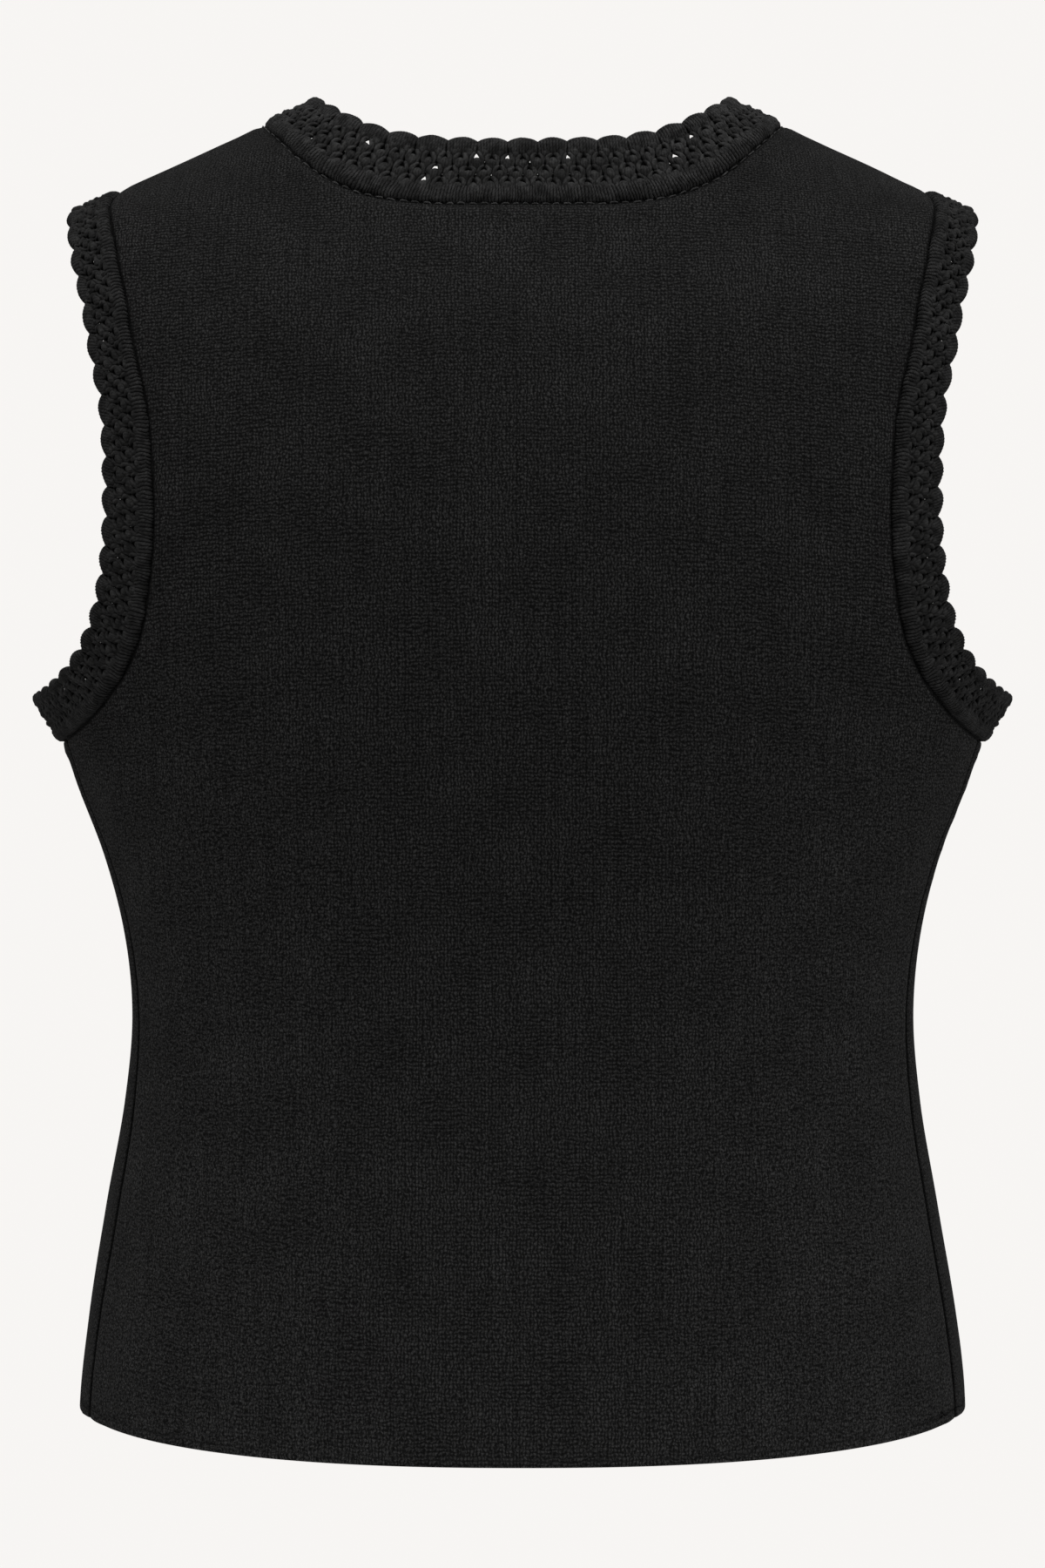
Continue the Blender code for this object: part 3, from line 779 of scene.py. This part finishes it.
def twisted_yarn():
    """Twisted yarn by its own map. Height is 1 on a ply and 0 between plies; the second output is 1 on the
    yarn's crest and 0 down its sides, where shade is painted.
    """
    tree, given, out = group_of("twisted_yarn", [("Yarn map", "NodeSocketVector", None)],
                                [("Height", "NodeSocketFloat"), ("Crest", "NodeSocketFloat")])
    parts = put(tree, "ShaderNodeSeparateXYZ", {0: given["Yarn map"]})
    ply = calc(tree, "SINE", calc(tree, "MULTIPLY", parts.outputs["X"], math.pi))
    tree.links.new(calc(tree, "POWER", calc(tree, "ABSOLUTE", ply), 0.6), out["Height"])
    facing = calc(tree, "SINE", calc(tree, "MULTIPLY", parts.outputs["Y"], 2 * math.pi))
    tree.links.new(calc(tree, "POWER", calc(tree, "MAXIMUM", facing, 0.0), 0.8), out["Crest"])
    return tree


TWISTED_YARN = twisted_yarn()


def crochet_yarn(name, darkest, lightest):
    material, tree = fibre_material(name)
    twist = put(tree, "ShaderNodeGroup", node_tree=TWISTED_YARN)
    yarn_map = put(tree, "ShaderNodeUVMap", uv_map="yarn")
    tree.links.new(yarn_map.outputs[0], twist.inputs["Yarn map"])
    spot = put(tree, "ShaderNodeTexCoord").outputs["Object"]
    lint = mapped(tree, noise_at(tree, spot, 950.0, 2.0)["Fac"], 0.3, 0.7)
    height = calc(tree, "MULTIPLY_ADD", twist.outputs["Height"], 0.40, calc(tree, "MULTIPLY", lint, 0.60))
    strand = mapped(tree, noise_at(tree, spot, 240.0, 1.0)["Fac"], 0.35, 0.65, 0.65, 1.35)
    # painted shade: the yarn's colour is darkened down its sides, where shade falls between strands, and
    # between its plies; the strand noise varies it at random
    painted_crest_light = calc(tree, "MULTIPLY_ADD", twist.outputs["Crest"], 0.68, 0.28)
    painted_crest_light = calc(tree, "MULTIPLY", painted_crest_light, strand)
    tone = mapped(tree, calc(tree, "MULTIPLY", height, painted_crest_light), 0.0, 1.0, darkest, lightest)
    finish_fibre(tree, tone, height, bump_strength=0.6, bump_depth=0.00025, roughness=0.9, specular=0.1)
    return material


knot = filling_knot("filling_knot")

# ---- the neck trim ------------------------------------------------------------------------------
# 48 scallops round the neck, one of them over the middle of the back. The band is wrapped with eleven
# turns of yarn to a scallop, and about one in five gaps beside the shell edge is open.

NECK_SCALLOPS = 48
NECK_SCALLOP_DEPTH = 0.0015
NECK_EASE = -0.04
neck_ring, neck_run = ring_carrier("neck_ring", neckline, ease=NECK_EASE)
neck_pitch = neck_run / NECK_SCALLOPS
neck_repeat = crochet_repeat("neck_repeat", neck_pitch, wraps=11, lean=0.0, scallop=NECK_SCALLOP_DEPTH,
                             foot=0.0006)
neck_yarn = crochet_yarn("neck_yarn", darkest=0.0012, lightest=0.0380)
neck_work = work_ring("neck_trim_crochet", neck_ring, {
    "Repeat": neck_repeat, "Knot": knot, "Count": NECK_SCALLOPS, "Pitch": neck_pitch,
    "Start": 0.5 / NECK_SCALLOPS, "Share of gaps closed": 0.78, "Knot depth": 0.0008, "Wander": 0.0022,
    "Seed": 11, "Yarn": neck_yarn})
neck_trim = add_piece(neck_work, neck_yarn, "neck_trim")

# ---- the stitching under the neck band ----------------------------------------------------------
# One row of short straight stitches in a smoother black thread, just below the band and about 4 mm
# apart. It holds the trim to the panels.

NECK_STITCHES = 160
stitch_work = YarnWork()
stitch_work.lay([(0, -0.0007, -0.0020), (0.0003, -0.0007, -0.0004), (0.0017, -0.0007, -0.0004),
                 (0.0020, -0.0007, -0.0020)], 0.00030, 8, 6)
stitch = stitch_work.pattern("stitch")
stitch_ring, stitch_run = ring_carrier("stitch_ring", neckline)
thread = crochet_yarn("neck_thread", darkest=0.010, lightest=0.060)
stitch_row = work_ring("neck_stitching", stitch_ring, {
    "Repeat": stitch, "Count": NECK_STITCHES, "Pitch": stitch_run / NECK_STITCHES, "Wander": 0.0016,
    "Yarn": thread})
neck_stitches = add_piece(stitch_row, thread, None)

# ---- the seam allowances ------------------------------------------------------------------------
# Inside, the overlocked edges of the panels lie flat over the side and shoulder seams, as a strip
# 8 mm wide and darker than the cloth.

ALLOWANCE_HALF_WIDTH, ALLOWANCE_FLATNESS, ALLOWANCE_DEPTH = 0.0040, 0.09, 0.0023
allowances = YarnWork()
_, side_seam, _, shoulder_seam, _ = panel_runs(front=False)
for seam, low, high in ((side_seam, 0.004, 0.995), (shoulder_seam, 0.02, 0.98)):
    for sign in (-1, 1):
        points = seam(np.linspace(low, high, 48))
        out = outward(points)
        points = (points - out * ALLOWANCE_DEPTH) * (sign, 1, 1)
        allowances.lay(points, ALLOWANCE_HALF_WIDTH, 48, 10, flat=ALLOWANCE_FLATNESS, up=out * (sign, 1, 1))
overlock = crochet_yarn("overlock", darkest=0.0008, lightest=0.0060)
seam_allowances = add_piece(allowances.mesh("seam_allowances"), overlock, None)

# ---- the armhole trims --------------------------------------------------------------------------
# 49 scallops round each armhole, deeper than the neck's. The trim is stretched over the shoulder and
# eased in under the arm, its wraps lean, and all its gaps are closed.

ARMHOLE_SCALLOPS = 49
ARMHOLE_SCALLOP_DEPTH = 0.0028
UNDERARM_EASE = 0.2
FIRST_SCALLOP = -0.155  # where the first scallop begins from the top of the armhole, in scallops
for side, sign in (("left", -1), ("right", 1)):
    arm_ring, arm_run = ring_carrier("arm_ring", armhole, sign, UNDERARM_EASE)
    arm_pitch = arm_run / ARMHOLE_SCALLOPS
    arm_repeat = crochet_repeat("arm_repeat", arm_pitch, wraps=9, lean=0.0012, scallop=ARMHOLE_SCALLOP_DEPTH,
                                foot=0.0008)
    arm_yarn = crochet_yarn(f"armhole_yarn_{side}", darkest=0.0012, lightest=0.0285)
    arm_work = work_ring(f"armhole_trim_{side}_crochet", arm_ring, {
        "Repeat": arm_repeat, "Knot": knot, "Count": ARMHOLE_SCALLOPS, "Pitch": arm_pitch,
        "Start": FIRST_SCALLOP / ARMHOLE_SCALLOPS, "Share of gaps closed": 1.0, "Knot depth": 0.0010,
        "Wander": 0.0024, "Seed": 7, "Yarn": arm_yarn})
    add_piece(arm_work, arm_yarn, f"armhole_trim_{side}")

# ---- the studio ---------------------------------------------------------------------------------
# A pale floor that sweeps up all round the vest, soft light from above, from both sides and from below,
# and a camera at the height of the vest's middle, square to its back.

CAMERA_DISTANCE = 1.5
CAMERA_HEIGHT = -0.2508
PICTURE_HEIGHT = 0.594  # in the plane through the vest's middle
SENSOR = 36
camera_data = bpy.data.cameras.new("camera")
camera_data.sensor_width = SENSOR
camera_data.lens = SENSOR * CAMERA_DISTANCE / PICTURE_HEIGHT
camera = bpy.data.objects.new("camera", camera_data)
camera.location = (0, -CAMERA_DISTANCE, CAMERA_HEIGHT)
camera.rotation_euler = (math.radians(90), 0, 0)
bpy.context.scene.collection.objects.link(camera)
bpy.context.scene.camera = camera

PALE = (0.939, 0.922, 0.905)
FLOOR_HEIGHT = -1.40
FLOOR_SIDES = 48
bend = np.linspace(0, math.pi / 2, 9)
floor_out = np.concatenate([[0.001, 2.5], 5.0 + np.sin(bend), [6.0]])
floor_up = np.concatenate([[0, 0], 1 - np.cos(bend), [7.0]]) + FLOOR_HEIGHT
bearings = 2 * math.pi * np.arange(FLOOR_SIDES) / FLOOR_SIDES
rows = len(floor_out)
floor_mesh = bpy.data.meshes.new("floor")
floor_mesh.from_pydata(
    [(r * math.cos(a), r * math.sin(a), z) for a in bearings for r, z in zip(floor_out, floor_up)], [],
    [(i * rows + j, i * rows + j + 1, k * rows + j + 1, k * rows + j)
     for i, k in zip(range(FLOOR_SIDES), [*range(1, FLOOR_SIDES), 0]) for j in range(rows - 1)])
floor_mesh.shade_smooth()
floor = bpy.data.objects.new("floor", floor_mesh)
bpy.context.scene.collection.objects.link(floor)
floor_material = bpy.data.materials.new("pale_floor")
floor_material.use_nodes = True
floor_shader = floor_material.node_tree.nodes["Principled BSDF"]
floor_shader.inputs["Base Color"].default_value = (0.02, 0.02, 0.02, 1)
floor_shader.inputs["Roughness"].default_value = 1.0
floor_shader.inputs["Specular IOR Level"].default_value = 0.0
floor_shader.inputs["Emission Color"].default_value = (*PALE, 1)
floor_shader.inputs["Emission Strength"].default_value = 0.985
floor_mesh.materials.append(floor_material)
floor.visible_diffuse = floor.visible_glossy = floor.visible_shadow = False
floor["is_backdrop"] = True

world = bpy.data.worlds.new("studio")
world.use_nodes = True
background = world.node_tree.nodes["Background"]
background.inputs["Color"].default_value = (*PALE, 1)
background.inputs["Strength"].default_value = 0.31
bpy.context.scene.world = world
bpy.context.scene.view_settings.view_transform = "Standard"

for name, place, aim, size, power in (
        ("top_light", (0, -0.6, 1.5), (0, 0, -0.2), (2.2, 1.4), 28),
        ("left_light", (-1.8, -0.8, -0.1), (0, 0, -0.25), (1.0, 1.8), 7),
        ("right_light", (1.8, -0.8, -0.1), (0, 0, -0.25), (1.0, 1.8), 11),
        ("low_light", (0, -0.26, -0.70), (0, -0.10, -0.50), (0.9, 0.08), 0.8)):
    lamp = bpy.data.lights.new(name, "AREA")
    lamp.shape, lamp.energy = "RECTANGLE", power
    lamp.size, lamp.size_y = size
    light = bpy.data.objects.new(name, lamp)
    light.visible_camera = False
    light.location = place
    light.rotation_mode = "QUATERNION"
    light.rotation_quaternion = (Vector(aim) - Vector(place)).to_track_quat("-Z", "Y")
    bpy.context.scene.collection.objects.link(light)

low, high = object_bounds()
